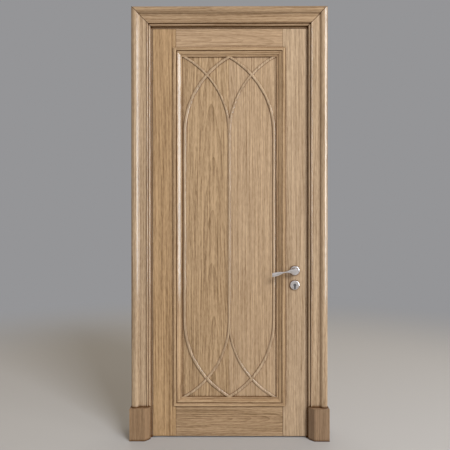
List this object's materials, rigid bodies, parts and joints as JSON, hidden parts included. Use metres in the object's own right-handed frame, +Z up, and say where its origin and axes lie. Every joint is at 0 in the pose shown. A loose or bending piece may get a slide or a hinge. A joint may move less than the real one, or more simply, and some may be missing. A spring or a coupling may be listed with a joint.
{
  "type": "interior door set",
  "caption": "Oak interior door leaf with arched tracery on a flat panel, hung in a moulded door frame with plinth blocks, lever handle and mortise lock.",
  "frame": {"origin": "middle of the doorway at floor level, half-way through the wall", "axes": "+Z up, +X to the right as seen from the front, -Y out of the front face"},
  "size_m": [1.16, 0.214, 2.532],
  "materials": {
    "oak_upright": "matt oiled oak, grain upright",
    "oak_across": "matt oiled oak, grain across",
    "oak_panel": "matt oiled oak, grain upright",
    "oak_tracery": "matt oiled oak",
    "nickel": "satin nickel plate",
    "steel": "plain steel",
    "brass": "nickel-plated brass",
    "seal_rubber": "soft brown rubber"
  },
  "bodies": {
    "frame": {"left_jamb": "oak_upright", "right_jamb": "oak_upright", "head_jamb": "oak_across", "left_stop": "oak_upright", "right_stop": "oak_upright", "head_stop": "oak_across", "stop_seal": "seal_rubber", "front_left_casing": "oak_upright", "front_right_casing": "oak_upright", "front_head_casing": "oak_across", "back_left_casing": "oak_upright", "back_right_casing": "oak_upright", "back_head_casing": "oak_across", "front_left_plinth": "oak_upright", "front_right_plinth": "oak_upright", "back_left_plinth": "oak_upright", "back_right_plinth": "oak_upright", "strike_plate": "steel", "strike_screws": "steel", "hinge_frame_cups": "steel", "hinge_frame_screws": "steel"},
    "leaf": {"hinge_stile": "oak_upright", "lock_stile": "oak_upright", "top_rail": "oak_across", "bottom_rail": "oak_across", "panel": "oak_panel", "front_left_moulding": "oak_upright", "front_right_moulding": "oak_upright", "front_top_moulding": "oak_across", "front_bottom_moulding": "oak_across", "back_left_moulding": "oak_upright", "back_right_moulding": "oak_upright", "back_top_moulding": "oak_across", "back_bottom_moulding": "oak_across", "front_tracery": "oak_tracery", "back_tracery": "oak_tracery", "hinge_leaf_cups": "steel", "hinge_leaf_screws": "steel", "lock_case": "steel", "face_plate": "steel", "face_plate_screws": "steel", "cylinder_body": "nickel", "cylinder_screw": "steel", "front_rose": "nickel", "back_rose": "nickel", "front_escutcheon": "nickel", "back_escutcheon": "nickel"},
    "hinge_links": {"hinge_arms": "steel"},
    "lever_set": {"front_lever": "nickel", "back_lever": "nickel", "spindle": "steel", "follower": "steel"},
    "latch": {"latch_bolt": "nickel"},
    "bolt": {"dead_bolt": "nickel"},
    "plug": {"cylinder_plug": "brass"}
  },
  "joints": [
    {"name": "leaf_swing", "type": "hinge", "parent": "frame", "child": "leaf", "pos_m": [-0.4515, -0.05, 0], "axis": [0, 0, -1], "range_deg": [0, 105]},
    {"name": "hinge_link_swing", "type": "hinge", "parent": "frame", "child": "hinge_links", "pos_m": [-0.4515, -0.05, 0], "axis": [0, 0, -1], "range_deg": [0, 52.6]},
    {"name": "lever_turn", "type": "hinge", "parent": "leaf", "child": "lever_set", "pos_m": [0.385, -0.028, 0.985], "axis": [0, -1, 0], "range_deg": [0, 40], "stiffness_Nm_per_rad": 1.5, "springref_deg": -28.65},
    {"name": "latch_slide", "type": "slide", "parent": "leaf", "child": "latch", "axis": [-1, 0, 0], "range_m": [0, 0.011]},
    {"name": "plug_turn", "type": "hinge", "parent": "leaf", "child": "plug", "pos_m": [0.385, -0.028, 0.9], "axis": [0, -1, 0], "range_deg": [0, 360]},
    {"name": "bolt_slide", "type": "slide", "parent": "leaf", "child": "bolt", "axis": [1, 0, 0], "range_m": [0, 0.02]}
  ],
  "couplings": [
    {"joint": "hinge_link_swing", "follows": "leaf_swing", "ratio": 0.5},
    {"joint": "latch_slide", "follows": "lever_turn", "m_per_rad": 0.01575},
    {"joint": "plug_turn", "follows": "bolt_slide", "rad_per_m": 314.16}
  ]
}
